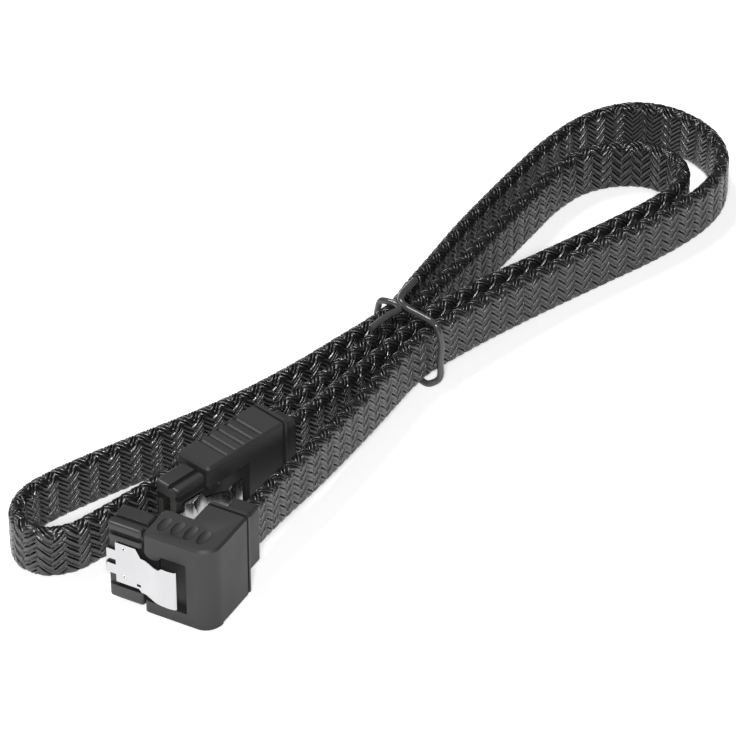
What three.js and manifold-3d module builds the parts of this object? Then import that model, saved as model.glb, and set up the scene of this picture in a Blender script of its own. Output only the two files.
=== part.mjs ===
// A sleeved flat data cable, laid up in a hank, with one right-angle and one straight latching plug.
// Millimetres, +Z up. The ribbon stands on edge, so its broad faces are vertical. X runs along the
// hank, and the plugs lie at the -X end with their latch faces towards -Y.

import * as THREE from 'three'
import { mergeVertices } from 'three/addons/utils/BufferGeometryUtils.js'
import Module from 'manifold-3d'

const wasm = await Module()
wasm.setup()

// Gaps between pieces that the real product moulds or presses together.
const mouldGap = 0.2
const softGap = 0.3

// Housing, the grey moulding that the fingers hold. Its corners are chamfered.
const housingHeight = 15.4
const housingThickness = 6.9
const housingEdge = 0.4
const housingCorner = 0.8
const straightLength = 17.6
const elbowLength = 12
const elbowReach = 12
const elbowLegThickness = 7
const elbowCornerRadius = 3

// Groove round the cable end of each housing, and the rebate under the elbow's outer face.
const rimLength = 1
const rimGrooveWidth = 0.5
const rimGrooveDepth = 0.45
const rebateHeight = 0.65
const rebateDepth = 0.5

// Collar that holds the ribbon.
const straightCollarLength = 3
const elbowCollarLength = 4.8
const collarWall = 0.55
const collarCheek = 0.65
const pocketDepth = 2

// Grip marks in the narrow top and bottom faces: hollows on the elbow, cross grooves on the straight.
const hollowCount = 4
const hollowPitch = 2.25
const hollowWidth = 1.9
const hollowLength = 3.8
const hollowDepth = 0.4
const crossGrooveCount = 5
const crossGroovePitch = 1.85
const crossGrooveWidth = 1
const crossGrooveDepth = 0.25

// Nose, the insulator that enters the socket of a drive or a board.
const noseLength = 6.2
const noseThickness = 4.9
const noseHeight = 14.2
const elbowNoseBottom = 0.95
const straightNoseBottom = 0.3
const noseInset = 0.2
const noseEdge = 0.35
const noseCorner = 0.6
const tenonLength = 2
const tenonWall = 0.9
const ribGrooveWidth = 0.95
const ribGrooveDepth = 0.6
const ribGrooveDrop = 1.25

// L-shaped slot of the mouth.
const slotThickness = 1.5
const slotLength = 10.4
const slotDepth = 5.6
const slotMargin = 1.7
const slotShift = 0.1
const keyReach = 1.1
const keyWidth = 1.2

// Contacts in the slot.
const contactCount = 7
const contactPitch = 1.27
const contactWidth = 0.7
const contactThickness = 0.22
const contactLength = 4.7
const contactCrown = 0.35

// Steel latch, one stamped strip that springs about its hooked end at the mouth. Its plate lies in the
// nose and its pad bulges out of the housing's window.
const latchThickness = 0.25
const latchProud = 0.05
const plateWidth = 7.5
const plateRise = 0.2
const padWidth = 7.1
const padDrop = 0.5
const padShoulder = 0.6
const latchBulge = 1.4
const latchTail = 6.2
const latchRamp = 3.6
const latchSwingDegrees = 5
const neckLength = 0.9
const neckSlotHeight = 0.45
const prongLength = 1.35
const prongWidth = 1.8
const prongSpacing = 2.75
const prongDrop = 0.1
const dimpleRadius = 0.4
const dimpleDepth = 0.16
const upperDimpleInset = 0.75
const lowerDimpleInset = 1.4
const elbowWindowLength = 7.45
const straightWindowLength = 8.8
const windowMargin = 1.1
const tabWidth = 2.9
const tabDrop = 1.2
const tabThickness = 0.7

// Ribbon, the braided sleeve over the flat cable.
const ribbonWidth = 9.2
const ribbonThickness = 2.5
const ribbonEndSides = 5

// Twist tie round the middle of the hank.
const tieDiameter = 1.1
const tieSides = 8

// Places of the two plugs. The point is where the ribbon comes out of the collar, seen from above, and
// the heading is the way from the mouth towards the back of the plug.
const elbowPlace = { x: -50.31, y: -21.55, heading: -68 }
const straightPlace = { x: -32.04, y: -8.47, heading: 6.6 }

// Middle of the outline seen from above, which lies over the part's origin.
const outlineMiddle = { x: 0.81, y: 0.14 }

// Route of the ribbon's centre line over the floor, from the right-angle plug to the straight one.
// Each row is x, y and the height of the ribbon's lower edge above the floor.
const floorClearance = 0.02
const ribbonRoute = [
  // strand from the right-angle plug to the tie
  [-51.7, -22.11, 3.08], [-47.5, -20.45, 3.08], [-41, -18.15, 2.95], [-33.5, -15.75, 2.75],
  [-24.5, -12.4, 2.4], [-15, -8.6, 2], [-8.5, -5.8, 1.7], [-3.5, -3.75, 1.5],
  [1.5, -2.4, 1.5], [6.6, -2.0, 1.5], [13.6, -1.35, 1.2], [22.6, -0.75, 0.7],
  [32.5, -0.4, 0.2], [43, -0.5, 0], [52, -0.75, 0], [58.7, -0.45, 0],
  // outer loop at the right
  [64.5, 0.4, 0], [70.2, 2.5, 0], [74.7, 6.1, 0], [77.4, 11, 0], [78.15, 16.5, 0],
  [77, 22, 0], [73.5, 26.7, 0], [68, 29, 0], [62, 29.2, 0], [54.8, 27.9, 0],
  [45.7, 25.1, 0], [35.6, 21.4, 0.2], [25.6, 17.4, 0.5], [15.8, 12.8, 1], [8.3, 9.3, 1.4],
  // behind the tie and out to the left loop
  [1.5, 6.25, 1.5], [-3.5, 5.25, 1.5], [-10, 4.75, 1.25], [-20, 4.35, 0.6], [-30, 4.45, 0.15],
  [-40, 5.1, 0], [-50, 6.05, 0], [-60, 6.9, 0], [-66.5, 7.1, 0], [-71, 6.6, 0],
  [-74.6, 4.5, 0], [-76.5, 0.8, 0], [-75.4, -2.9, 0], [-71.8, -5.0, 0], [-66.5, -5.1, 0],
  // back to the tie behind the straight plug
  [-60, -4.6, 0], [-52, -3.9, 0], [-43, -3.2, 0], [-34, -2.4, 0.1], [-24, -1.2, 0.5],
  [-15, 0.2, 1], [-8.5, 1.4, 1.4], [-3.5, 2.25, 1.5], [1.5, 3.35, 1.5], [6.5, 4.95, 1.5],
  // inner loop at the right
  [13.5, 7.4, 1.2], [22.5, 10.6, 0.7], [32, 14.3, 0.3], [41.5, 17.9, 0], [50, 20.7, 0],
  [57, 21.4, 0], [62.6, 19.6, 0], [66.5, 16.1, 0], [67.9, 11.2, 0], [66.4, 6.9, 0],
  [62.4, 4.1, 0], [56, 3.0, 0], [48, 2.8, 0], [38, 2.85, 0.1], [28, 2.85, 0.4],
  [20, 2.65, 0.9], [13.5, 2.25, 1.2], [6.5, 1.45, 1.5],
  // through the tie to the straight plug
  [1.5, 0.5, 1.5], [-3.5, -0.75, 1.5], [-8.5, -2.15, 1.7], [-15, -4.05, 2],
  [-22, -6.15, 2.5], [-28.8, -8.09, 3], [-33.53, -8.65, 3.08],
]

// Wire of the tie, as two halves that meet under the hank and cross on top of it. The first rows of
// each half give heights above the floor, and the rows over the hank give heights above its top.
const tieLift = 1.5
const tieFrontUnder = [
  [0.2, 3.2, 0.64], [0.4, -1.6, 0.64], [0.7, -3.9, 0.64], [1.9, -4.75, 1.3], [2.4, -4.7, 5],
  [2.5, -4.7, 9],
]
const tieFrontOver = [
  [2.35, -3.7, 0.55], [1.8, -0.6, 1.1], [1.3, 2.3, 1.3], [1.3, 3.8, 1.7], [2.7, 5.2, 1.7],
  [5, 6.4, 1.4], [7.5, 7.7, 1],
]
const tieBackUnder = [
  [0.3, 1.4, 0.64], [0.1, 6.1, 0.64], [0.1, 8.05, 1.7], [0.1, 8.35, 5], [0.1, 8.2, 9],
]
const tieBackOver = [
  [0.2, 7.4, 0.4], [0.5, 5.9, 0.85], [0.9, 4.5, 0.95], [0.6, 3.3, 0.93], [-1.5, 3.0, 1],
  [-3.9, 2.6, 0.95], [-6.6, 2.0, 0.93],
]

// Values that follow from the driving dimensions.
const halfThickness = housingThickness / 2
const middleZ = housingHeight / 2
const noseFront = -halfThickness + noseInset
const noseBack = noseFront + noseThickness
const latchOuter = noseFront - latchProud
const latchInner = latchOuter + latchThickness
const latchMiddle = latchOuter + latchThickness / 2
const plateBottom = middleZ + plateRise - plateWidth / 2
const plateTop = middleZ + plateRise + plateWidth / 2
const padBottom = middleZ - padDrop - padWidth / 2
const padTop = middleZ - padDrop + padWidth / 2
const windowBottom = padBottom - windowMargin
const windowTop = padTop + windowMargin
const latchSwing = THREE.MathUtils.degToRad(latchSwingDegrees)
const latchTravel = Math.sin(latchSwing) * noseLength
const armRecess = latchInner + latchTravel + softGap
const elbowLegFront = elbowLength - elbowLegThickness
const elbowLegMiddle = elbowLength - elbowLegThickness / 2
const elbowLegEnd = elbowReach - halfThickness
const elbowExit = [elbowLegMiddle, elbowLegEnd + elbowCollarLength]
const straightExit = [straightLength + straightCollarLength, 0]
const hankTop = tieLift + floorClearance + ribbonWidth

const material = (color, roughness, metalness) =>
  new THREE.MeshStandardMaterial({ color, roughness, metalness })

const greyMoulding = () => material(0x3b3b3d, 0.62, 0)
const blackInsulator = () => material(0x19191a, 0.45, 0)
const stampedSteel = () => material(0xd9dbde, 0.28, 1)
const contactGold = () => material(0xc9a24a, 0.3, 1)
const braidedNylon = () => material(0x1b1b1c, 0.75, 0)
const tieCoating = () => material(0x101011, 0.3, 0)

// Booleans

function toSolid(geometry) {
  const plain = geometry.clone()
  plain.deleteAttribute('normal')
  plain.deleteAttribute('uv')
  const merged = mergeVertices(plain, 1e-4)
  return new wasm.Manifold(new wasm.Mesh({
    numProp: 3,
    vertProperties: Float32Array.from(merged.attributes.position.array),
    triVerts: Uint32Array.from(merged.index.array),
  }))
}

function toGeometry(solid) {
  const mesh = solid.getMesh()
  const geometry = new THREE.BufferGeometry()
  geometry.setAttribute('position', new THREE.BufferAttribute(mesh.vertProperties, 3))
  geometry.setIndex(new THREE.BufferAttribute(mesh.triVerts, 1))
  const flat = geometry.toNonIndexed()
  flat.computeVertexNormals()
  return flat
}

// Basic forms

function boxBetween(low, high) {
  const size = high.map((value, axis) => value - low[axis])
  const middle = high.map((value, axis) => (value + low[axis]) / 2)
  return new THREE.BoxGeometry(...size).translate(...middle)
}

const cutter = (low, high) => toSolid(boxBetween(low, high))

// Extrudes an outline drawn in X and Y upwards between two heights, with its rims rounded.
function plate(shape, bottom, top, edge, curveSegments = 8, bevelSegments = 2) {
  return new THREE.ExtrudeGeometry(shape, {
    depth: top - bottom - 2 * edge,
    bevelEnabled: edge > 0,
    bevelThickness: edge,
    bevelSize: edge,
    bevelOffset: -edge,
    bevelSegments,
    curveSegments,
  }).translate(0, 0, bottom + edge)
}

function roundedRectangle(left, front, right, back, radius) {
  const shape = new THREE.Shape()
  shape.moveTo(left + radius, front)
  shape.lineTo(right - radius, front)
  shape.absarc(right - radius, front + radius, radius, -Math.PI / 2, 0, false)
  shape.lineTo(right, back - radius)
  shape.absarc(right - radius, back - radius, radius, 0, Math.PI / 2, false)
  shape.lineTo(left + radius, back)
  shape.absarc(left + radius, back - radius, radius, Math.PI / 2, Math.PI, false)
  shape.lineTo(left, front + radius)
  shape.absarc(left + radius, front + radius, radius, Math.PI, Math.PI * 1.5, false)
  return shape
}

// Closed outline of a bent strip of sheet, from the middle line of its section.
function stripShape(middleLine, thickness) {
  const points = middleLine.map(([x, y]) => new THREE.Vector2(x, y))
  const sideAt = (index, sign) => {
    const before = points[Math.max(index - 1, 0)]
    const after = points[Math.min(index + 1, points.length - 1)]
    const inward = points[index].clone().sub(before).normalize()
    const outward = after.clone().sub(points[index]).normalize()
    const along = inward.add(outward).normalize()
    const half = sign * thickness / 2
    return points[index].clone().add(new THREE.Vector2(-along.y, along.x).multiplyScalar(half))
  }
  const left = points.map((_, index) => sideAt(index, 1))
  const right = points.map((_, index) => sideAt(index, -1)).reverse()
  return new THREE.Shape([...left, ...right])
}

// A curve whose parameter runs evenly from point to point, so that a sweep puts one ring on each.
class PointPath extends THREE.CatmullRomCurve3 {
  getUtoTmapping(u) {
    return u
  }
}

function sweep(section, points, stepsPerPoint = 1) {
  const path = new PointPath(points.map((point) => new THREE.Vector3(...point)))
  return new THREE.ExtrudeGeometry(section, {
    steps: (points.length - 1) * stepsPerPoint,
    extrudePath: path,
  })
}

function circleSection(radius, sides) {
  const corner = (_, index) => {
    const angle = (2 * Math.PI * (index + 0.5)) / sides
    return new THREE.Vector2(radius * Math.cos(angle), radius * Math.sin(angle))
  }
  return new THREE.Shape(Array.from({ length: sides }, corner))
}

// Flat section with round ends, faceted so that each end closes on a flat. Its long side lies along
// the sweep's upright axis.
function ribbonSection(width, thickness) {
  const radius = thickness / 2
  const flatShare = Math.cos(Math.PI / (2 * ribbonEndSides))
  const points = []
  for (const end of [1, -1]) {
    for (let side = 0; side <= ribbonEndSides; side += 1) {
      const angle = (Math.PI * side) / ribbonEndSides - Math.PI / 2
      const along = end * (width / 2 - radius + radius * Math.cos(angle) / flatShare)
      points.push(new THREE.Vector2(along, end * radius * Math.sin(angle)))
    }
  }
  return new THREE.Shape(points)
}

// Housings

const chamferedBody = (shape) => toSolid(plate(shape, 0, housingHeight, housingEdge, 8, 1))

// Recess behind the latch, open at the front of the housing and at its latch face.
function windowCutter(length) {
  const low = [-1, -halfThickness - 1, windowBottom]
  return cutter(low, [length, armRecess + softGap, windowTop])
}

// Rounded tongue of the moulding that hangs over the latch at the top of its window.
function windowTab() {
  const middle = mouldGap + tabWidth / 2
  const shape = new THREE.Shape()
  shape.moveTo(middle - tabWidth / 2, mouldGap)
  shape.lineTo(middle - tabWidth / 2, 0)
  shape.absellipse(middle, 0, tabWidth / 2, tabDrop, Math.PI, 2 * Math.PI, false, 0)
  shape.lineTo(middle + tabWidth / 2, mouldGap)
  const geometry = new THREE.ExtrudeGeometry(shape, {
    depth: tabThickness,
    bevelEnabled: false,
    curveSegments: 6,
  })
  const back = -halfThickness + mouldGap + tabThickness
  return toSolid(geometry.rotateX(Math.PI / 2).translate(0, back, windowTop))
}

// Socket in the housing's front that holds the nose's tenon.
function tenonSocket(noseBottom) {
  const wall = tenonWall - mouldGap
  return cutter(
    [-1, armRecess - mouldGap, noseBottom + wall],
    [tenonLength + mouldGap, noseBack - wall, noseBottom + noseHeight - wall],
  )
}

// Groove all round a body that ends at the high corner along the given axis.
function rimGroove(low, high, axis) {
  const outerLow = low.map((value) => value - 1)
  const outerHigh = high.map((value) => value + 1)
  const innerLow = low.map((value) => value + rimGrooveDepth)
  const innerHigh = high.map((value) => value - rimGrooveDepth)
  outerHigh[axis] = high[axis] - rimLength
  outerLow[axis] = outerHigh[axis] - rimGrooveWidth
  innerLow[axis] = outerLow[axis] - 1
  innerHigh[axis] = outerHigh[axis] + 1
  return cutter(outerLow, outerHigh).subtract(cutter(innerLow, innerHigh))
}

// Oval hollows in the top and bottom faces of the elbow, in a row along X.
function gripHollows() {
  const firstX = elbowLength / 2 - hollowPitch * (hollowCount - 1) / 2 - hollowPitch / 4
  const hollows = []
  for (let index = 0; index < hollowCount; index += 1) {
    for (const z of [0, housingHeight]) {
      const ball = new THREE.SphereGeometry(1, 14, 8).rotateX(Math.PI / 2)
      ball.scale(hollowWidth / 2, hollowLength / 2, hollowDepth)
      hollows.push(toSolid(ball.translate(firstX + index * hollowPitch, 0, z)))
    }
  }
  return hollows
}

// Shallow round-bottomed grooves across the top and bottom faces of the straight housing.
function crossGrooves() {
  const firstX = straightLength / 2 - crossGroovePitch * (crossGrooveCount - 1) / 2 - rimLength / 2
  const radius = (crossGrooveWidth ** 2 / 4 + crossGrooveDepth ** 2) / (2 * crossGrooveDepth)
  const grooves = []
  for (let index = 0; index < crossGrooveCount; index += 1) {
    for (const [edge, side] of [[0, -1], [housingHeight, 1]]) {
      const bar = new THREE.CylinderGeometry(radius, radius, housingThickness - 3 * housingEdge, 24)
      const z = edge + side * (radius - crossGrooveDepth)
      grooves.push(toSolid(bar.translate(firstX + index * crossGroovePitch, 0, z)))
    }
  }
  return grooves
}

// Pocket for the ribbon's end, with its long side upright. It runs along +X from the given start.
function ribbonPocket() {
  const wide = ribbonWidth + 2 * softGap
  const thick = ribbonThickness + 2 * softGap
  const section = ribbonSection(wide, thick)
  const geometry = new THREE.ExtrudeGeometry(section, { depth: pocketDepth + 1, bevelEnabled: false })
  return geometry.rotateY(Math.PI / 2).translate(-pocketDepth, 0, middleZ)
}

// Collar drawn along +X from inside the housing to its end, with a chamfered free end.
function collar(length) {
  const halfWide = ribbonWidth / 2 + softGap + collarWall
  const halfThick = ribbonThickness / 2 + softGap + collarCheek
  const outline = roundedRectangle(-halfWide, -halfThick, halfWide, halfThick, housingCorner)
  const block = plate(outline, -1 - housingEdge, length, housingEdge, 3, 1)
  return block.rotateY(Math.PI / 2).translate(0, 0, middleZ)
}

function straightHousing() {
  const shape = roundedRectangle(0, -halfThickness, straightLength, halfThickness, housingCorner)
  const groove = rimGroove(
    [0, -halfThickness, 0],
    [straightLength, halfThickness, housingHeight],
    0,
  )
  let solid = chamferedBody(shape).subtract(groove)
  solid = solid.add(toSolid(collar(straightCollarLength).translate(straightLength, 0, 0)))
  solid = solid.subtract(windowCutter(straightWindowLength)).add(windowTab())
  solid = solid.subtract(tenonSocket(straightNoseBottom))
  solid = solid.subtract(toSolid(ribbonPocket().translate(straightExit[0], straightExit[1], 0)))
  for (const mark of crossGrooves()) solid = solid.subtract(mark)
  return toGeometry(solid)
}

// L-shaped outline seen from above: the nose leg along X and the cable leg along +Y.
function elbowShape() {
  const legFront = elbowLegFront
  const reach = elbowLegEnd
  const shape = new THREE.Shape()
  shape.moveTo(housingCorner, -halfThickness)
  shape.lineTo(elbowLength - elbowCornerRadius, -halfThickness)
  shape.absarc(elbowLength - elbowCornerRadius, -halfThickness + elbowCornerRadius, elbowCornerRadius,
    -Math.PI / 2, 0, false)
  shape.lineTo(elbowLength, reach - housingCorner)
  shape.absarc(elbowLength - housingCorner, reach - housingCorner, housingCorner, 0, Math.PI / 2, false)
  shape.lineTo(legFront + housingCorner, reach)
  shape.absarc(legFront + housingCorner, reach - housingCorner, housingCorner, Math.PI / 2, Math.PI, false)
  shape.lineTo(legFront, halfThickness)
  shape.lineTo(housingCorner, halfThickness)
  shape.absarc(housingCorner, halfThickness - housingCorner, housingCorner, Math.PI / 2, Math.PI, false)
  shape.lineTo(0, -halfThickness + housingCorner)
  shape.absarc(housingCorner, -halfThickness + housingCorner, housingCorner, Math.PI, Math.PI * 1.5, false)
  return shape
}

function elbowHousing() {
  const [exitX, exitY] = elbowExit
  const along = (geometry, y) => toSolid(geometry.rotateZ(Math.PI / 2).translate(exitX, y, 0))
  const groove = rimGroove(
    [elbowLegFront, halfThickness, 0],
    [elbowLength, elbowLegEnd, housingHeight],
    1,
  )
  const rebate = cutter(
    [elbowLength - rebateDepth, -halfThickness + elbowCornerRadius, -1],
    [elbowLength + 1, elbowLegEnd + 1, rebateHeight],
  )
  let solid = chamferedBody(elbowShape()).subtract(groove).subtract(rebate)
  solid = solid.add(along(collar(elbowCollarLength), elbowLegEnd))
  solid = solid.subtract(windowCutter(elbowWindowLength)).add(windowTab())
  solid = solid.subtract(tenonSocket(elbowNoseBottom)).subtract(along(ribbonPocket(), exitY))
  for (const mark of gripHollows()) solid = solid.subtract(mark)
  return toGeometry(solid)
}

// Nose with its tenon, the latch recess, two rib grooves and the L-shaped slot.
function noseInsulator(noseBottom) {
  const noseTop = noseBottom + noseHeight
  const outline = roundedRectangle(-noseLength, noseFront, -mouldGap, noseBack, noseCorner)
  const block = toSolid(plate(outline, noseBottom, noseTop, noseEdge, 3))
  const tenon = cutter(
    [-1, armRecess, noseBottom + tenonWall],
    [tenonLength, noseBack - tenonWall, noseTop - tenonWall],
  )
  const recessBottom = Math.min(plateBottom, padBottom) - softGap
  const recessTop = Math.max(plateTop, padTop) + softGap
  const armPocket = cutter(
    [-noseLength + prongLength + mouldGap, noseFront - 1, recessBottom],
    [1, armRecess, recessTop],
  )
  const prongSeat = cutter(
    [-noseLength - 1, noseFront - 1, recessBottom],
    [0, latchInner + mouldGap, recessTop],
  )
  const topGroove = cutter(
    [-noseLength - 1, noseFront + ribGrooveDrop, noseTop - ribGrooveDepth],
    [1, noseFront + ribGrooveDrop + ribGrooveWidth, noseTop + 1],
  )
  const faceGroove = cutter(
    [-noseLength - 1, noseFront - 1, noseTop - ribGrooveDrop - ribGrooveWidth],
    [1, noseFront + ribGrooveDepth, noseTop - ribGrooveDrop],
  )
  const [slotFront, slotBack, slotBottom, slotTop] = slotBounds(noseBottom)
  const slot = cutter(
    [-noseLength - 1, slotFront, slotBottom],
    [-noseLength + slotDepth, slotBack, slotTop],
  )
  const key = cutter(
    [-noseLength - 1, slotFront, slotTop - keyWidth],
    [-noseLength + slotDepth, slotBack + keyReach, slotTop],
  )
  let solid = block.add(tenon)
  for (const cut of [armPocket, prongSeat, topGroove, faceGroove, slot, key]) {
    solid = solid.subtract(cut)
  }
  return toGeometry(solid)
}

function slotBounds(noseBottom) {
  const middle = (noseFront + noseBack) / 2 + slotShift
  const bottom = noseBottom + slotMargin
  return [middle - slotThickness / 2, middle + slotThickness / 2, bottom, bottom + slotLength]
}

// One contact: a sprung strip along the slot's back wall, crowned near the mouth.
function contactStrip(index, noseBottom) {
  const [, slotBack, slotBottom] = slotBounds(noseBottom)
  const end = -noseLength + slotDepth - mouldGap
  const start = end - contactLength
  const base = slotBack - mouldGap - contactThickness / 2
  const line = [
    [start, base - contactCrown * 0.35],
    [start + contactLength * 0.17, base - contactCrown],
    [start + contactLength * 0.38, base - contactCrown * 0.55],
    [start + contactLength * 0.6, base],
    [end, base],
  ]
  const span = contactPitch * (contactCount - 1)
  const wide = slotLength - keyWidth
  const z = slotBottom + (wide - span) / 2 + index * contactPitch - contactWidth / 2
  return plate(stripShape(line, contactThickness), z, z + contactWidth, 0)
}

// Middle line of the latch's sheet seen from above: the hook, the flat plate and the bulging pad.
function latchLine() {
  const hookX = -noseLength - mouldGap - latchThickness / 2
  const hookReach = 3 * latchThickness
  const padY = latchMiddle - latchBulge
  return [
    [hookX, latchMiddle + hookReach], [hookX, latchMiddle + 0.15], [hookX + 0.15, latchMiddle],
    [-neckLength, latchMiddle], [0.3, latchMiddle - latchBulge * 0.08],
    [latchRamp * 0.4, latchMiddle - latchBulge * 0.42],
    [latchRamp * 0.75, latchMiddle - latchBulge * 0.83], [latchRamp, padY + 0.06],
    [latchTail - 1.2, padY - 0.03], [latchTail - 0.2, padY + 0.08], [latchTail, padY + 0.3],
  ]
}

// Outline of the latch seen from its face, as X and height: two prongs, the plate, the neck and the pad.
function latchOutline() {
  const hookEnd = -noseLength - 1
  const plateStart = -noseLength + prongLength
  const prongMiddle = middleZ + plateRise - prongDrop
  const upper = prongMiddle + prongSpacing / 2
  const lower = prongMiddle - prongSpacing / 2
  const half = prongWidth / 2
  const tabEnd = 2 * mouldGap + tabWidth
  return new THREE.Shape([
    [hookEnd, lower - half], [plateStart, lower - half], [plateStart, plateBottom],
    [-neckLength, plateBottom], [-neckLength / 2, padBottom], [latchTail + 1, padBottom],
    [latchTail + 1, padTop], [tabEnd + padShoulder, padTop], [tabEnd, padTop - padShoulder],
    [-neckLength / 2, padTop - padShoulder], [-neckLength * 1.5, plateTop], [plateStart, plateTop],
    [plateStart, upper + half], [hookEnd, upper + half], [hookEnd, upper - half],
    [plateStart, upper - half], [plateStart, lower + half], [hookEnd, lower + half],
  ].map(([x, z]) => new THREE.Vector2(x, z)))
}

// Latch: the bent strip cut to its outline, with a slot in the neck and two pressed dimples.
function latchStrip() {
  const bottom = Math.min(plateBottom, padBottom) - 1
  const top = Math.max(plateTop, padTop) + 1
  const strip = toSolid(plate(stripShape(latchLine(), latchThickness), bottom, top, 0))
  const depth = 2 * noseThickness
  const outline = new THREE.ExtrudeGeometry(latchOutline(), { depth, bevelEnabled: false })
  let solid = strip.intersect(toSolid(outline.rotateX(Math.PI / 2).translate(0, depth / 2 + noseFront, 0)))
  const slotZ = padBottom + 2 * neckSlotHeight
  solid = solid.subtract(cutter(
    [-neckLength * 1.4, latchOuter - 1, slotZ],
    [-neckLength * 0.6, latchInner + 1, slotZ + neckSlotHeight],
  ))
  for (const z of [plateTop - upperDimpleInset, plateBottom + lowerDimpleInset]) {
    const cone = new THREE.CylinderGeometry(dimpleRadius * 0.6, dimpleRadius, 2 * dimpleDepth, 10)
    solid = solid.subtract(toSolid(cone.translate(-noseLength / 2 - mouldGap, latchOuter, z)))
  }
  return toGeometry(solid)
}

function named(name, geometry, finish) {
  const mesh = new THREE.Mesh(geometry, finish)
  mesh.name = name
  return mesh
}

// The pieces of one plug, drawn in the plug's own axes, then set so that its exit meets its place.
function plug(prefix, housing, noseBottom, place, exit) {
  const group = new THREE.Group()
  group.add(named(`${prefix}_housing`, housing, greyMoulding()))
  group.add(named(`${prefix}_nose`, noseInsulator(noseBottom), blackInsulator()))
  for (let index = 0; index < contactCount; index += 1) {
    group.add(named(`${prefix}_contact_${index + 1}`, contactStrip(index, noseBottom), contactGold()))
  }
  group.add(named(`${prefix}_latch`, latchStrip(), stampedSteel()))
  const turn = THREE.MathUtils.degToRad(place.heading)
  const offset = new THREE.Vector3(...exit, 0).applyAxisAngle(new THREE.Vector3(0, 0, 1), turn)
  group.rotation.z = turn
  group.position.set(place.x, place.y, 0).sub(offset)
  return group
}

function braidedRibbon() {
  const points = ribbonRoute.map(([x, y, lift]) => [x, y, lift + floorClearance + ribbonWidth / 2])
  return sweep(ribbonSection(ribbonWidth, ribbonThickness), points)
}

function twistTie() {
  const section = circleSection(tieDiameter / 2, tieSides)
  const half = (under, over) => {
    const raised = over.map(([x, y, height]) => [x, y, hankTop + height])
    return toSolid(sweep(section, [...under, ...raised], 2))
  }
  return toGeometry(half(tieFrontUnder, tieFrontOver).add(half(tieBackUnder, tieBackOver)))
}

const cable = new THREE.Group()
cable.add(plug('elbow', elbowHousing(), elbowNoseBottom, elbowPlace, elbowExit))
cable.add(plug('straight', straightHousing(), straightNoseBottom, straightPlace, straightExit))
cable.add(named('braided_ribbon', braidedRibbon(), braidedNylon()))
cable.add(named('twist_tie', twistTie(), tieCoating()))
cable.position.set(-outlineMiddle.x, -outlineMiddle.y, 0)

export default cable
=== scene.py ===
# %% [markdown]
# # A flat data cable in a braided sleeve
# This lesson dresses a plain CAD model of a flat data cable. The cable is laid up in a hank, a
# twist tie holds its middle, and each end has a latching plug. The CAD nodes come in as a fixed
# frame in metres. Everything made here sits on that frame.

# %% Load the frame
import math

import bmesh
import bpy
import numpy as np
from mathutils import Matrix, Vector


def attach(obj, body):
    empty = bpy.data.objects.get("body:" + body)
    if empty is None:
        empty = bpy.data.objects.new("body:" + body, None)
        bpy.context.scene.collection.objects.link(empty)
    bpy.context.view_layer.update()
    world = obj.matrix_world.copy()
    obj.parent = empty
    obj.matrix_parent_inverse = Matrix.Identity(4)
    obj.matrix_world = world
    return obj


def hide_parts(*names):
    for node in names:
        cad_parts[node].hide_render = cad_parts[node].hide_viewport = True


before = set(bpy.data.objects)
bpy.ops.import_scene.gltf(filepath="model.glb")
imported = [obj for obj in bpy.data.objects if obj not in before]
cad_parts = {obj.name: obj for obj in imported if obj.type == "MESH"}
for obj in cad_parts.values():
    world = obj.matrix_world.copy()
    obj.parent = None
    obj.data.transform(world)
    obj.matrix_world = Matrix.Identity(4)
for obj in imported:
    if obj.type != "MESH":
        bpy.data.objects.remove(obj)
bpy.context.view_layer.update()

# %% [markdown]
# ## Camera
# The picture was taken from the front left and from well above, with a long lens. A long lens
# keeps parallel edges parallel, so the far loop is hardly smaller than the near plugs. The camera
# is set by the point that it looks at, its distance, and two angles, because those are easy to
# adjust by eye.

# %% Place the camera
camera_target = Vector((-0.00436, 0.00614, 0))
camera_distance = 0.6978
camera_lens = 210.4
camera_sensor = 36


def away_from_floor(turn, rise):
    """Unit vector at an angle round the object and an angle above the floor, both in degrees."""
    turn, rise = math.radians(turn), math.radians(rise)
    level = math.cos(rise)
    return Vector((math.sin(turn) * level, -math.cos(turn) * level, math.sin(rise)))


towards_camera = away_from_floor(turn=-39.7, rise=36.44)
camera_data = bpy.data.cameras.new("photo_camera")
camera_data.lens = camera_lens
camera_data.sensor_width = camera_sensor
camera = bpy.data.objects.new("photo_camera", camera_data)
camera.location = camera_target + towards_camera * camera_distance
camera.rotation_euler = towards_camera.to_track_quat("Z", "Y").to_euler()
bpy.context.collection.objects.link(camera)
bpy.context.scene.camera = camera
print("camera at", [round(v, 4) for v in camera.location])

# %% [markdown]
# ## Route of the cable
# The cable is a flat ribbon that stands on its narrow edge. It leaves the right-angle plug, makes
# a wide loop at the right, a loop at the left and a smaller loop at the right, and ends in the
# straight plug. The points below are those of the CAD model, in metres: x, y, and the height of
# the lower edge above the floor. The model's origin lies under the middle of its outline, which
# is given here too. A smooth curve through the points gives the line that the sleeve follows.

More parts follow.
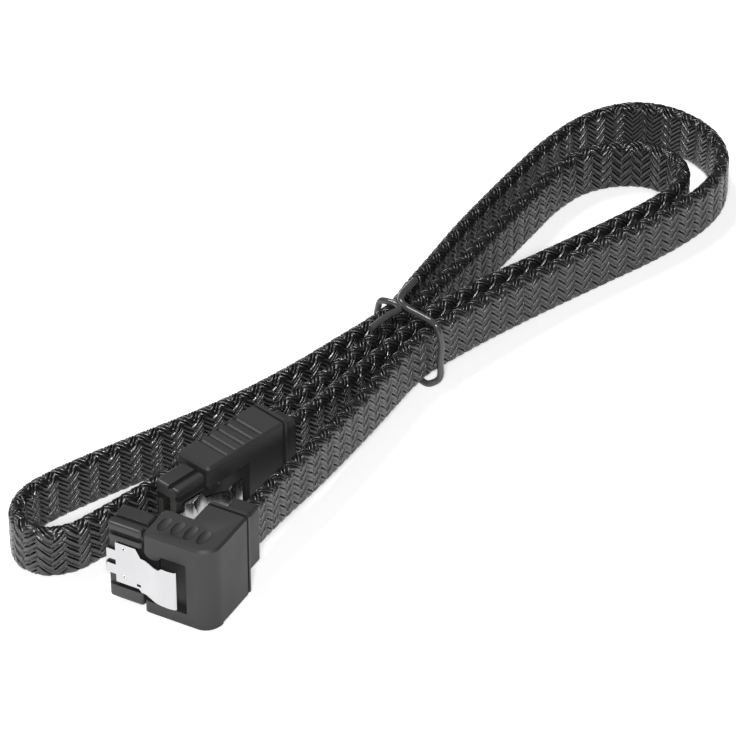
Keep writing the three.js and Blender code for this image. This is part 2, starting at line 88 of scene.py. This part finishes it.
# %% Points of the route
outline_middle = (0.00081, 0.00014)
ribbon_route = [
    # Strand from the right-angle plug to the tie.
    (-0.0517, -0.02211, 0.00308), (-0.0475, -0.02045, 0.00308), (-0.041, -0.01815, 0.00295),
    (-0.0335, -0.01575, 0.00275), (-0.0245, -0.0124, 0.0024), (-0.015, -0.0086, 0.002),
    (-0.0085, -0.0058, 0.0017), (-0.0035, -0.00375, 0.0015), (0.0015, -0.0024, 0.0015),
    (0.0066, -0.002, 0.0015), (0.0136, -0.00135, 0.0012), (0.0226, -0.00075, 0.0007),
    (0.0325, -0.0004, 0.0002), (0.043, -0.0005, 0), (0.052, -0.00075, 0), (0.0587, -0.00045, 0),
    # Outer loop at the right.
    (0.0645, 0.0004, 0), (0.0702, 0.0025, 0), (0.0747, 0.0061, 0), (0.0774, 0.011, 0),
    (0.07815, 0.0165, 0), (0.077, 0.022, 0), (0.0735, 0.0267, 0), (0.068, 0.029, 0),
    (0.062, 0.0292, 0), (0.0548, 0.0279, 0), (0.0457, 0.0251, 0), (0.0356, 0.0214, 0.0002),
    (0.0256, 0.0174, 0.0005), (0.0158, 0.0128, 0.001), (0.0083, 0.0093, 0.0014),
    # Behind the tie and out to the left loop.
    (0.0015, 0.00625, 0.0015), (-0.0035, 0.00525, 0.0015), (-0.01, 0.00475, 0.00125),
    (-0.02, 0.00435, 0.0006), (-0.03, 0.00445, 0.00015), (-0.04, 0.0051, 0), (-0.05, 0.00605, 0),
    (-0.06, 0.0069, 0), (-0.0665, 0.0071, 0), (-0.071, 0.0066, 0), (-0.0746, 0.0045, 0),
    (-0.0765, 0.0008, 0), (-0.0754, -0.0029, 0), (-0.0718, -0.005, 0), (-0.0665, -0.0051, 0),
    # Back to the tie behind the straight plug.
    (-0.06, -0.0046, 0), (-0.052, -0.0039, 0), (-0.043, -0.0032, 0), (-0.034, -0.0024, 0.0001),
    (-0.024, -0.0012, 0.0005), (-0.015, 0.0002, 0.001), (-0.0085, 0.0014, 0.0014),
    (-0.0035, 0.00225, 0.0015), (0.0015, 0.00335, 0.0015), (0.0065, 0.00495, 0.0015),
    # Inner loop at the right.
    (0.0135, 0.0074, 0.0012), (0.0225, 0.0106, 0.0007), (0.032, 0.0143, 0.0003),
    (0.0415, 0.0179, 0), (0.05, 0.0207, 0), (0.057, 0.0214, 0), (0.0626, 0.0196, 0),
    (0.0665, 0.0161, 0), (0.0679, 0.0112, 0), (0.0664, 0.0069, 0), (0.0624, 0.0041, 0),
    (0.056, 0.003, 0), (0.048, 0.0028, 0), (0.038, 0.00285, 0.0001), (0.028, 0.00285, 0.0004),
    (0.02, 0.00265, 0.0009), (0.0135, 0.00225, 0.0012), (0.0065, 0.00145, 0.0015),
    # Through the tie to the straight plug.
    (0.0015, 0.0005, 0.0015), (-0.0035, -0.00075, 0.0015), (-0.0085, -0.00215, 0.0017),
    (-0.015, -0.00405, 0.002), (-0.022, -0.00615, 0.0025), (-0.0288, -0.00809, 0.003),
    (-0.03353, -0.00865, 0.00308),
]
ribbon_width = 0.0092
floor_clearance = 0.00002
print("route points:", len(ribbon_route))

# %% [markdown]
# ## A smooth line through points
# Blender's own curve object could follow these points, but the yarns of the braid need to know
# how far along the cable each of their rings is. So the line is worked out here: a cubic between
# each pair of points, with slopes taken from the neighbours, and then points spaced evenly along
# it.

# %% Smooth line helper
samples_per_point = 40


def lengths_along(points):
    """Distance from the first point to each point."""
    steps = np.linalg.norm(np.diff(points, axis=0), axis=1)
    return np.concatenate([[0], np.cumsum(steps)])


def smooth_line(points, step):
    """Evenly spaced points on a smooth curve through the given ones."""
    knots = np.array(points, float)
    along = lengths_along(knots)
    slopes = np.gradient(knots, along, axis=0)
    places = np.linspace(0, along[-1], samples_per_point * len(knots))
    span = np.clip(np.searchsorted(along, places, side="right") - 1, 0, len(knots) - 2)
    width = (along[span + 1] - along[span])[:, None]
    t = (places[:, None] - along[span][:, None]) / width
    curve = (
        (2 * t**3 - 3 * t**2 + 1) * knots[span]
        + (t**3 - 2 * t**2 + t) * width * slopes[span]
        + (3 * t**2 - 2 * t**3) * knots[span + 1]
        + (t**3 - t**2) * width * slopes[span + 1]
    )
    reached = lengths_along(curve)
    even = np.linspace(0, reached[-1], round(reached[-1] / step) + 1)
    return np.stack([np.interp(even, reached, curve[:, axis]) for axis in range(3)], axis=1)


# %% Centre line of the cable
braid_ring_step = 0.00048


def in_the_frame(points, base):
    """Moves points by the middle of the outline and raises them by a base height."""
    return [(x - outline_middle[0], y - outline_middle[1], z + base) for x, y, z in points]


middle_points = in_the_frame(ribbon_route, floor_clearance + ribbon_width / 2)
centre_line = smooth_line(middle_points, braid_ring_step)

# %% [markdown]
# ## Shape of the sleeve
# The sleeve is a flat tube with round narrow ends. A place on it is given by how far it is along
# the cable, how far it is round the tube, and how high it stands on the tube's middle surface.
# With such a map a yarn can be drawn as a plain straight strip and then laid on the cable.

# %% Map from a flat strip to the cable
sleeve_half_width = 0.00426
sleeve_half_thickness = 0.00098
sleeve_flat = 2 * (sleeve_half_width - sleeve_half_thickness)
sleeve_round = 2 * (sleeve_flat + math.pi * sleeve_half_thickness)

ahead = np.gradient(centre_line, axis=0)
sideways = np.stack([ahead[:, 1], -ahead[:, 0], np.zeros(len(ahead))], axis=1)
sideways /= np.linalg.norm(sideways, axis=1)[:, None]
upright = np.array([0, 0, 1.0])


def on_sleeve(ring, around, height):
    """Points of the cable at these rings, distances round the sleeve and heights above it."""
    around = np.mod(around, sleeve_round)
    second_half = around >= sleeve_round / 2
    around = around - second_half * sleeve_round / 2
    turn = np.clip((around - sleeve_flat) / sleeve_half_thickness, 0, math.pi)
    sign = np.where(second_half, -1.0, 1.0)
    reach = sleeve_half_thickness + height
    side = sign * reach * np.cos(turn)
    rise = sign * (np.minimum(around, sleeve_flat) - sleeve_flat / 2 + reach * np.sin(turn))
    return centre_line[ring] + side[:, None] * sideways[ring] + rise[:, None] * upright


print("distance round the sleeve:", round(sleeve_round * 1000, 2), "mm")

# %% [markdown]
# ## Core under the braid
# Between the yarns one sees the dark inside of the sleeve. A closed tube just under the yarns
# fills it. It starts as a flat grid with one row per ring, which is then wrapped round the cable,
# sewn along its seam and closed at both ends. Wrapping a grid keeps the number of faces and the
# UV map under control, which a curve with a bevel doesn't.

# %% Wrap a grid round the cable
same_point = 1e-6


def grid_numbers(mesh, rings, sides):
    """Ring number and side number of each vertex of unit grids with that many rows and columns."""
    flat = np.zeros(len(mesh.vertices) * 3)
    mesh.vertices.foreach_get("co", flat)
    flat = flat.reshape(-1, 3)
    ring = np.rint((flat[:, 0] + 0.5) * (rings - 1)).astype(int)
    side = np.rint((flat[:, 1] + 0.5) * sides).astype(int)
    return ring, side


def new_piece(name, mesh):
    """An object of the scene that shows the mesh."""
    piece = bpy.data.objects.new(name, mesh)
    bpy.context.collection.objects.link(piece)
    return piece


def sew_and_close(mesh):
    """Merges the seams of wrapped grids, closes their ends and turns the faces outwards."""
    bm = bmesh.new()
    bm.from_mesh(mesh)
    bmesh.ops.remove_doubles(bm, verts=bm.verts, dist=same_point)
    open_edges = [edge for edge in bm.edges if edge.is_boundary]
    bmesh.ops.holes_fill(bm, edges=open_edges, sides=0)
    bmesh.ops.recalc_face_normals(bm, faces=bm.faces)
    for face in bm.faces:
        face.smooth = True
    bm.to_mesh(mesh)
    bm.free()


# %% Core
core_inset = 0.0004
core_sides = 22
core_every = 2

core_rings = len(centre_line) // core_every + 1
bm = bmesh.new()
bm.loops.layers.uv.verify()
bmesh.ops.create_grid(
    bm, x_segments=core_rings - 1, y_segments=core_sides, size=0.5, calc_uvs=True
)
core_mesh = bpy.data.meshes.new("sleeve_core")
bm.to_mesh(core_mesh)
bm.free()
ring, side = grid_numbers(core_mesh, core_rings, core_sides)
ring = np.minimum(ring * core_every, len(centre_line) - 1)
around = np.mod(side, core_sides) * sleeve_round / core_sides
placed = on_sleeve(ring, around, np.full(len(ring), -core_inset))
core_mesh.vertices.foreach_set("co", placed.ravel())
sew_and_close(core_mesh)
sleeve_core = new_piece("sleeve_core", core_mesh)
print("core faces:", len(core_mesh.polygons))

# %% [markdown]
# ## Yarns of the braid
# The sleeve is braided from nylon yarns, each a flat bundle of fine filaments. Half of them wind
# one way round the cable and half the other way. Each yarn goes over two crossing yarns and under
# the next two, and its neighbours do so at the same place along the cable, so the braid shows
# short slanting dashes in rows. A bump texture would slide over the edges of the ribbon, so every
# yarn is a real strip here. Its section is domed, and its height swings with the crossings. Only
# the fine filaments on it are left to the relief of the material.

# %% Lay the yarns
yarns_each_way = 11
yarn_cover = 1.16
yarn_swing = 0.00011
yarn_crown = 0.00016
crossing_heights = np.array([1, 1, 1, 0, -1, -1, -1, 0], float)
section_across = np.array([-0.5, -0.3, 0, 0.3, 0.5, 0, -0.5])
section_height = np.array([0, 0.8, 1, 0.8, 0, -0.7, 0])

yarn_spacing = sleeve_round / yarns_each_way
crossing_step = 2 * braid_ring_step
yarn_slant = yarn_spacing / (2 * crossing_step)
section_sides = len(section_across) - 1
print("yarn slant", round(math.degrees(math.atan(yarn_slant)), 1), "degrees")


def braid_yarns(name, lean):
    """All yarns that wind one way, as one mesh. lean is 1 or -1."""
    rings = len(centre_line)
    bm = bmesh.new()
    bm.loops.layers.uv.verify()
    for _ in range(yarns_each_way):
        bmesh.ops.create_grid(
            bm, x_segments=rings - 1, y_segments=section_sides, size=0.5, calc_uvs=True
        )
    mesh = bpy.data.meshes.new(name)
    bm.to_mesh(mesh)
    bm.free()
    ring, side = grid_numbers(mesh, rings, section_sides)
    yarn = np.arange(len(ring)) // (rings * (section_sides + 1))
    swing = lean * crossing_heights[ring % len(crossing_heights)] * yarn_swing
    start = yarn * yarn_spacing + lean * ring * braid_ring_step * yarn_slant
    around = start + section_across[side] * yarn_spacing * yarn_cover
    placed = on_sleeve(ring, around, swing + section_height[side] * yarn_crown)
    mesh.vertices.foreach_set("co", placed.ravel())
    sew_and_close(mesh)
    print(name, "faces:", len(mesh.polygons))
    return new_piece(name, mesh)


yarns_rising = braid_yarns("sleeve_yarns_rising", 1)
yarns_falling = braid_yarns("sleeve_yarns_falling", -1)

# %% [markdown]
# ## Moulded and stamped pieces
# The plugs are two grey mouldings, two black insulators and two stamped steel latches. The CAD
# nodes have their right shapes, but sharp corners that catch no light. A merged copy of each gets
# rounded edges from a Bevel modifier, and shades smoothly. Modelling them again would only risk a
# misfit.

# %% Rounded copies of CAD nodes
cad_same_point = 2e-6
flat_angle = math.radians(1)
rounding_segments = 2


def rounded_copy(node, radius, sharp=32):
    """A merged copy of a CAD node that stands for it, with its sharp edges rounded."""
    bm = bmesh.new()
    bm.from_mesh(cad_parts[node].data)
    bmesh.ops.remove_doubles(bm, verts=bm.verts, dist=cad_same_point)
    bmesh.ops.dissolve_limit(
        bm,
        angle_limit=flat_angle,
        verts=bm.verts,
        edges=bm.edges,
        use_dissolve_boundaries=False,
    )
    mesh = bpy.data.meshes.new(node + "_finished")
    for face in bm.faces:
        face.smooth = True
    bm.to_mesh(mesh)
    bm.free()
    mesh.set_sharp_from_angle(angle=math.radians(sharp))
    piece = new_piece(node + "_finished", mesh)
    rounding = piece.modifiers.new("rounding", "BEVEL")
    rounding.width = radius
    rounding.segments = rounding_segments
    rounding.limit_method = "ANGLE"
    rounding.angle_limit = math.radians(sharp)
    rounding.use_clamp_overlap = True
    rounding.harden_normals = True
    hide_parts(node)
    print(piece.name, "faces:", len(mesh.polygons))
    return piece


plugs = ("elbow", "straight")
housings = [rounded_copy(f"{plug}_housing", 0.0001) for plug in plugs]
noses = [rounded_copy(f"{plug}_nose", 0.00006, sharp=20) for plug in plugs]
latches = [rounded_copy(f"{plug}_latch", 0.00004) for plug in plugs]

# %% [markdown]
# ## Twist tie
# A coated wire goes round the middle of the hank. Its two ends cross on top and stick out. A wire
# is best made as a curve with a round bevel, because its thickness is then one number. The two
# halves meet under the hank and lie together on top.

# %% Points of the tie
tie_front_under = [
    (0.0002, 0.0032, 0.00064), (0.0004, -0.0016, 0.00064), (0.0007, -0.0039, 0.00064),
    (0.0019, -0.00475, 0.0013), (0.0024, -0.0047, 0.005), (0.0025, -0.0047, 0.009),
]
tie_front_over = [
    (0.00235, -0.0037, 0.00055), (0.0018, -0.0006, 0.0011), (0.0013, 0.0023, 0.0013),
    (0.0013, 0.0038, 0.0017), (0.0027, 0.0052, 0.0017), (0.005, 0.0064, 0.0014),
    (0.0075, 0.0077, 0.001),
]
tie_back_under = [
    (0.0003, 0.0014, 0.00064), (0.0001, 0.0061, 0.00064), (0.0001, 0.00805, 0.0017),
    (0.0001, 0.00835, 0.005), (0.0001, 0.0082, 0.009),
]
tie_back_over = [
    (0.0002, 0.0074, 0.0004), (0.0005, 0.0059, 0.00085), (0.0009, 0.0045, 0.00095),
    (0.0006, 0.0033, 0.00093), (-0.0015, 0.003, 0.001), (-0.0039, 0.0026, 0.00095),
    (-0.0066, 0.002, 0.00093),
]
tie_diameter = 0.0011
tie_lift = 0.0015
hank_top = tie_lift + floor_clearance + ribbon_width


def tie_half(under, over):
    """One half of the tie: heights above the floor first, then heights above the hank."""
    return in_the_frame(under, 0) + in_the_frame(over, hank_top)


tie_halves = [tie_half(tie_front_under, tie_front_over), tie_half(tie_back_under, tie_back_over)]
print("tie points:", [len(half) for half in tie_halves])


# %% Bend the wire
wire_step_share = 0.35
wire_roundness = 4


def round_wire(name, lines, diameter):
    """Round wires with closed ends along smooth lines, as one mesh."""
    curve = bpy.data.curves.new(name, "CURVE")
    curve.dimensions = "3D"
    curve.bevel_depth = diameter / 2
    curve.bevel_resolution = wire_roundness
    curve.use_fill_caps = True
    for line in lines:
        points = smooth_line(line, diameter * wire_step_share)
        points[:, 2] = np.maximum(points[:, 2], diameter / 2 + floor_clearance)
        spline = curve.splines.new("POLY")
        spline.points.add(len(points) - 1)
        spline.points.foreach_set("co", np.column_stack([points, np.ones(len(points))]).ravel())
        spline.use_smooth = True
    drawn = bpy.data.objects.new(name + "_curve", curve)
    bpy.context.collection.objects.link(drawn)
    mesh = bpy.data.meshes.new_from_object(drawn)
    mesh.name = name
    bpy.data.objects.remove(drawn)
    bpy.data.curves.remove(curve)
    print(name, "faces:", len(mesh.polygons))
    return new_piece(name, mesh)


tie_wire = round_wire("tie_wire", tie_halves, tie_diameter)
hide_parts("twist_tie")

# %% [markdown]
# ## Shader groups
# The finishes share two small effects: a fine grain, which stretches into brush lines on metal,
# and the thin parallel filaments of a yarn. Each effect is a node group that is built once, with
# its scale as an input, and each material sets its own values.

# %% Group helper
def node_group(name, inputs, outputs):
    """An empty shader group with float or vector inputs and the named outputs."""
    group = bpy.data.node_groups.new(name, "ShaderNodeTree")
    for label, value in inputs.items():
        kind = "NodeSocketVector" if value is None else "NodeSocketFloat"
        socket = group.interface.new_socket(label, in_out="INPUT", socket_type=kind)
        if value is not None:
            socket.default_value = value
    for label, kind in outputs.items():
        group.interface.new_socket(label, in_out="OUTPUT", socket_type=kind)
    return group, group.nodes.new("NodeGroupInput"), group.nodes.new("NodeGroupOutput")


def math_node(tree, operation, first, second=None):
    """A Math node fed by sockets or numbers."""
    node = tree.nodes.new("ShaderNodeMath")
    node.operation = operation
    for index, value in enumerate([first] if second is None else [first, second]):
        if isinstance(value, (int, float)):
            node.inputs[index].default_value = value
        else:
            tree.links.new(value, node.inputs[index])
    return node.outputs[0]


# %% Fine grain group
def build_grain():
    """A fine noise for relief and a coarse one for uneven colour."""
    group, inner, outer = node_group(
        "fine_grain",
        {"Place": None, "Scale": 9000.0, "Patch Scale": 120.0},
        {"Grain": "NodeSocketFloat", "Patches": "NodeSocketFloat"},
    )
    for label, scale, detail in (("Grain", "Scale", 3), ("Patches", "Patch Scale", 2)):
        noise = group.nodes.new("ShaderNodeTexNoise")
        noise.inputs["Detail"].default_value = detail
        group.links.new(inner.outputs["Place"], noise.inputs["Vector"])
        group.links.new(inner.outputs[scale], noise.inputs["Scale"])
        group.links.new(noise.outputs["Fac"], outer.inputs[label])
    return group


fine_grain = build_grain()
print("group", fine_grain.name)


# %% Filament group
wander_scale = 900
wander_reach = 0.3


def build_filaments():
    """Parallel ridges along a strip, which wander a little from side to side."""
    group, inner, outer = node_group(
        "yarn_filaments",
        {"Strip": None, "Filaments": 3.0, "Length": 0.8},
        {"Height": "NodeSocketFloat", "Shade": "NodeSocketFloat"},
    )
    split = group.nodes.new("ShaderNodeSeparateXYZ")
    group.links.new(inner.outputs["Strip"], split.inputs[0])
    metres = math_node(group, "MULTIPLY", split.outputs["X"], inner.outputs["Length"])
    wander = group.nodes.new("ShaderNodeTexNoise")
    wander.noise_dimensions = "1D"
    wander.inputs["Scale"].default_value = wander_scale
    group.links.new(metres, wander.inputs["W"])
    shift = math_node(group, "MULTIPLY", wander.outputs["Fac"], wander_reach)
    turns = math_node(group, "MULTIPLY", split.outputs["Y"], inner.outputs["Filaments"])
    moved = math_node(group, "ADD", turns, shift)
    wave = math_node(group, "SINE", math_node(group, "MULTIPLY", moved, math.pi))
    group.links.new(math_node(group, "ABSOLUTE", wave), outer.inputs["Height"])
    group.links.new(wander.outputs["Fac"], outer.inputs["Shade"])
    return group


yarn_filaments = build_filaments()
print("group", yarn_filaments.name)


# %% [markdown]
# ## Materials
# Each material is a Principled shader with its plain numbers set on the shader itself. What
# changes over the surface comes from the groups through the colour, the roughness and a Bump
# node.

# %% Material helper
def new_material(name, color, roughness, metallic=0.0):
    """A material with its node tree and its Principled shader."""
    material = bpy.data.materials.new(name)
    material.use_nodes = True
    shader = material.node_tree.nodes["Principled BSDF"]
    shader.inputs["Base Color"].default_value = (*color, 1)
    shader.inputs["Roughness"].default_value = roughness
    shader.inputs["Metallic"].default_value = metallic
    return material, material.node_tree, shader


def add_group(tree, group, place, **values):
    """A group fed by a place, with its other inputs set by name and _ for a space."""
    node = tree.nodes.new("ShaderNodeGroup")
    node.node_tree = group
    tree.links.new(place, node.inputs[0])
    for label, value in values.items():
        node.inputs[label.replace("_", " ")].default_value = value
    return node


def add_bump(tree, shader, height, distance):
    """Relief of the given depth on a shader."""
    bump = tree.nodes.new("ShaderNodeBump")
    bump.inputs["Strength"].default_value = 1
    bump.inputs["Distance"].default_value = distance
    tree.links.new(height, bump.inputs["Height"])
    tree.links.new(bump.outputs["Normal"], shader.inputs["Normal"])


# A Mix node has its sockets once for each kind of data. These are the ones for colours.
mix_first, mix_second, mix_result = 6, 7, 2


def mix_colors(tree, factor, first, second):
    """The first colour where the factor is 0, the second where it is 1."""
    mix = tree.nodes.new("ShaderNodeMix")
    mix.data_type = "RGBA"
    mix.inputs[mix_first].default_value = (*first, 1)
    mix.inputs[mix_second].default_value = (*second, 1)
    tree.links.new(factor, mix.inputs["Factor"])
    return mix.outputs[mix_result]


noise_low, noise_high = 0.3, 0.7


def spread_value(tree, factor, low, high):
    """Stretches the usual range of a noise to one from low to high."""
    node = tree.nodes.new("ShaderNodeMapRange")
    node.inputs["From Min"].default_value = noise_low
    node.inputs["From Max"].default_value = noise_high
    node.inputs["To Min"].default_value = low
    node.inputs["To Max"].default_value = high
    tree.links.new(factor, node.inputs["Value"])
    return node.outputs["Result"]


# %% Nylon yarn and the inside of the sleeve
def grey(level):
    return (level, level, level)


def build_nylon():
    material, tree, shader = new_material("braided_nylon", grey(0.02), 0.3)
    shader.inputs["Specular IOR Level"].default_value = 1.0
    uv = tree.nodes.new("ShaderNodeUVMap").outputs["UV"]
    filaments = add_group(tree, yarn_filaments, uv, Filaments=3.0, Length=0.8)
    # The base colour runs from near black in the valleys between the filaments to a little lighter
    # on their crests: painted shade in the grooves.
    color = mix_colors(tree, filaments.outputs["Height"], grey(0.001), grey(0.01))
    tree.links.new(color, shader.inputs["Base Color"])
    rough_range = spread_value(tree, filaments.outputs["Shade"], 0.27, 0.39)
    tree.links.new(rough_range, shader.inputs["Roughness"])
    add_bump(tree, shader, filaments.outputs["Height"], 0.0003)
    return material


def build_core_nylon():
    material, tree, shader = new_material("sleeve_inside", grey(0.008), 0.8)
    place = tree.nodes.new("ShaderNodeTexCoord").outputs["Object"]
    grain = add_group(tree, fine_grain, place, Scale=4000.0)
    color = mix_colors(tree, grain.outputs["Grain"], grey(0.004), grey(0.014))
    tree.links.new(color, shader.inputs["Base Color"])
    add_bump(tree, shader, grain.outputs["Grain"], 0.00005)
    return material


nylon = build_nylon()
core_nylon = build_core_nylon()


# %% Moulded plastics
moulding_spread = 0.04


def build_moulding(name, dark, light, rough, grain_depth):
    """A plastic whose colour runs from dark to light in patches, with a fine grain."""
    material, tree, shader = new_material(name, light, rough)
    shader.inputs["Specular IOR Level"].default_value = 0.6
    place = tree.nodes.new("ShaderNodeTexCoord").outputs["Object"]
    grain = add_group(tree, fine_grain, place, Scale=9000.0)
    color = mix_colors(tree, grain.outputs["Patches"], dark, light)
    tree.links.new(color, shader.inputs["Base Color"])
    low, high = rough - moulding_spread, rough + moulding_spread
    rough_range = spread_value(tree, grain.outputs["Patches"], low, high)
    tree.links.new(rough_range, shader.inputs["Roughness"])
    add_bump(tree, shader, grain.outputs["Grain"], grain_depth)
    return material


grey_plastic = build_moulding(
    "grey_moulding", (0.016, 0.016, 0.017), (0.02, 0.02, 0.021), rough=0.56, grain_depth=0.000012
)
black_plastic = build_moulding(
    "black_insulator", grey(0.016), grey(0.02), rough=0.45, grain_depth=0.000006
)
tie_plastic = build_moulding(
    "tie_coating", grey(0.052), grey(0.064), rough=0.16, grain_depth=0.000003
)


# %% Metals
metal_spread = 0.06
dull_share = 0.9
brush_depth = 0.0000002


def build_metal(name, color, rough, stretch):
    """A metal with brush lines, which are the grain stretched along one axis."""
    material, tree, shader = new_material(name, color, rough, metallic=1.0)
    place = tree.nodes.new("ShaderNodeTexCoord").outputs["Object"]
    mapping = tree.nodes.new("ShaderNodeMapping")
    mapping.inputs["Scale"].default_value = stretch
    tree.links.new(place, mapping.inputs["Vector"])
    grain = add_group(tree, fine_grain, mapping.outputs["Vector"], Scale=3000.0, Patch_Scale=300.0)
    low, high = rough - metal_spread, rough + metal_spread
    rough_range = spread_value(tree, grain.outputs["Grain"], low, high)
    tree.links.new(rough_range, shader.inputs["Roughness"])
    dull = tuple(dull_share * part for part in color)
    patches = mix_colors(tree, grain.outputs["Patches"], dull, color)
    tree.links.new(patches, shader.inputs["Base Color"])
    add_bump(tree, shader, grain.outputs["Grain"], brush_depth)
    return material


steel = build_metal("stamped_steel", (0.56, 0.56, 0.57), rough=0.18, stretch=(1, 1, 0.08))
gold = build_metal("contact_gold", (0.83, 0.62, 0.25), rough=0.25, stretch=(1, 1, 0.2))
print("materials:", [material.name for material in bpy.data.materials])


# %% [markdown]
# ## Put the finishes on and seat the pieces
# A piece takes its material in its first slot and rides on a CAD body. The latches ride on their
# own bodies, because they spring inwards.

# %% Finish and ride
def finish_piece(piece, material, body):
    """Gives a piece its material and its CAD body."""
    piece.data.materials.clear()
    piece.data.materials.append(material)
    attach(piece, body)


for piece in housings:
    finish_piece(piece, grey_plastic, "cable")
for piece in noses:
    finish_piece(piece, black_plastic, "cable")
for plug, piece in zip(plugs, latches):
    finish_piece(piece, steel, f"{plug}_latch_arm")
for piece in (yarns_rising, yarns_falling):
    finish_piece(piece, nylon, "cable")
finish_piece(sleeve_core, core_nylon, "cable")
finish_piece(tie_wire, tie_plastic, "cable")
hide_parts("braided_ribbon")

contacts = [node for name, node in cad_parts.items() if "_contact_" in name]
for node in contacts:
    node.data.materials.clear()
    node.data.materials.append(gold)
print("contacts:", len(contacts))

# %% [markdown]
# ## The cable
# The cable leaves the right-angle plug and ends in the straight one.

# %% [markdown]
# ## Floor, light and background
# The picture has a white ground and a soft shadow. The floor is a large pale disc. A little lift
# shows it white to the camera and in reflections, and it keeps the shadow. The world is white to
# the camera alone, so the tops of the yarns stay black and glint only where a lamp is mirrored.
# One lamp stands high behind the hank and a small one near the camera, both at a plain level.

# %% Floor
floor_radius = 3
floor_sides = 64

bm = bmesh.new()
bmesh.ops.create_circle(bm, cap_ends=True, segments=floor_sides, radius=floor_radius)
floor_mesh = bpy.data.meshes.new("floor")
bm.to_mesh(floor_mesh)
bm.free()
floor = new_piece("floor", floor_mesh)


def seen_directly(tree, mirrored):
    """1 for camera and see-through rays, a value for mirrored rays, 0 for light that bounces."""
    path = tree.nodes.new("ShaderNodeLightPath")
    glossy = math_node(tree, "MULTIPLY", path.outputs["Is Glossy Ray"], mirrored)
    direct = math_node(tree, "MAXIMUM", path.outputs["Is Camera Ray"], glossy)
    return math_node(tree, "MAXIMUM", direct, path.outputs["Is Transmission Ray"])


def build_floor_paint(paint, lift):
    """A dull pale paint, lifted a little towards white where it is seen directly."""
    material, tree, shader = new_material("floor_paint", grey(paint), 0.9)
    shader.inputs["Specular IOR Level"].default_value = 0
    shader.inputs["Emission Color"].default_value = (1, 1, 1, 1)
    glow = math_node(tree, "MULTIPLY", seen_directly(tree, 1.0), lift)
    tree.links.new(glow, shader.inputs["Emission Strength"])
    return material


floor.data.materials.append(build_floor_paint(0.85, 0.44))


# %% World and lamps
def build_world(ambient):
    """White to the camera, and an even light of the given strength for everything else."""
    world = bpy.data.worlds.new("studio")
    world.use_nodes = True
    tree = world.node_tree
    background = tree.nodes["Background"]
    background.inputs["Color"].default_value = (1, 1, 1, 1)
    strength = math_node(tree, "MAXIMUM", seen_directly(tree, 0.0), ambient)
    tree.links.new(strength, background.inputs["Strength"])
    bpy.context.scene.world = world


def soft_lamp(name, turn, rise, distance, size, power):
    """A square lamp that faces the hank, from an angle round it and an angle above the floor."""
    away = away_from_floor(turn, rise)
    data = bpy.data.lights.new(name, "AREA")
    data.size = size
    data.energy = power
    lamp = bpy.data.objects.new(name, data)
    lamp.location = away * distance
    lamp.rotation_euler = away.to_track_quat("Z", "Y").to_euler()
    bpy.context.collection.objects.link(lamp)


build_world(0.1)
soft_lamp("back_lamp", turn=195, rise=62, distance=1.2, size=0.5, power=9.5)
soft_lamp("front_lamp", turn=-42, rise=37, distance=1.2, size=0.25, power=12)
bpy.context.scene.view_settings.view_transform = "Standard"
print("lamps:", [light.name for light in bpy.data.lights])
